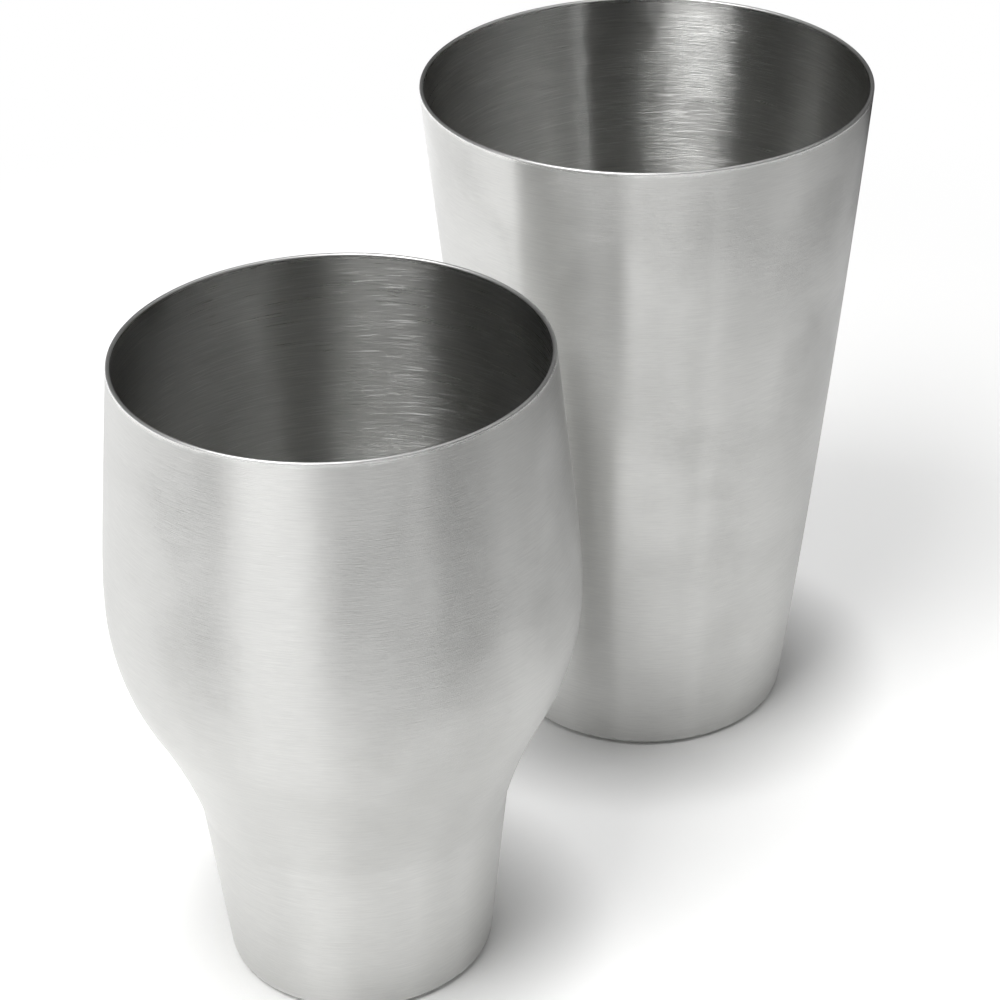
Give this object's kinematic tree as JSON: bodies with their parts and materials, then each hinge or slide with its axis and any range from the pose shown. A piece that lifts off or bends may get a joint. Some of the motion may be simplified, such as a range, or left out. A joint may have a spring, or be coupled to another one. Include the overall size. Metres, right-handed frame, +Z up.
{
  "type": "cocktail shaker set",
  "caption": "Cocktail shaker set in brushed steel: a tall tapered mixing tin and a waisted top that stands beside it as a cup and closes the tin upside down.",
  "frame": {"origin": "on the table, at the middle of the pair's box as seen from above", "axes": "+Z up, +X from the axis of the shaker top to the axis of the mixing tin, +Y across the pair"},
  "size_m": [0.1956, 0.09, 0.14],
  "materials": {
    "steel": "satin stainless steel, brushed round the axis, with a polished rim"
  },
  "bodies": {
    "tin": {"mixing_tin": "steel"},
    "top": {"shaker_top": "steel"}
  },
  "joints": [
    {"name": "top_lift", "type": "slide", "parent": "tin", "child": "top", "axis": [0, 0, 1], "range_m": [0, 0.15]}
  ]
}
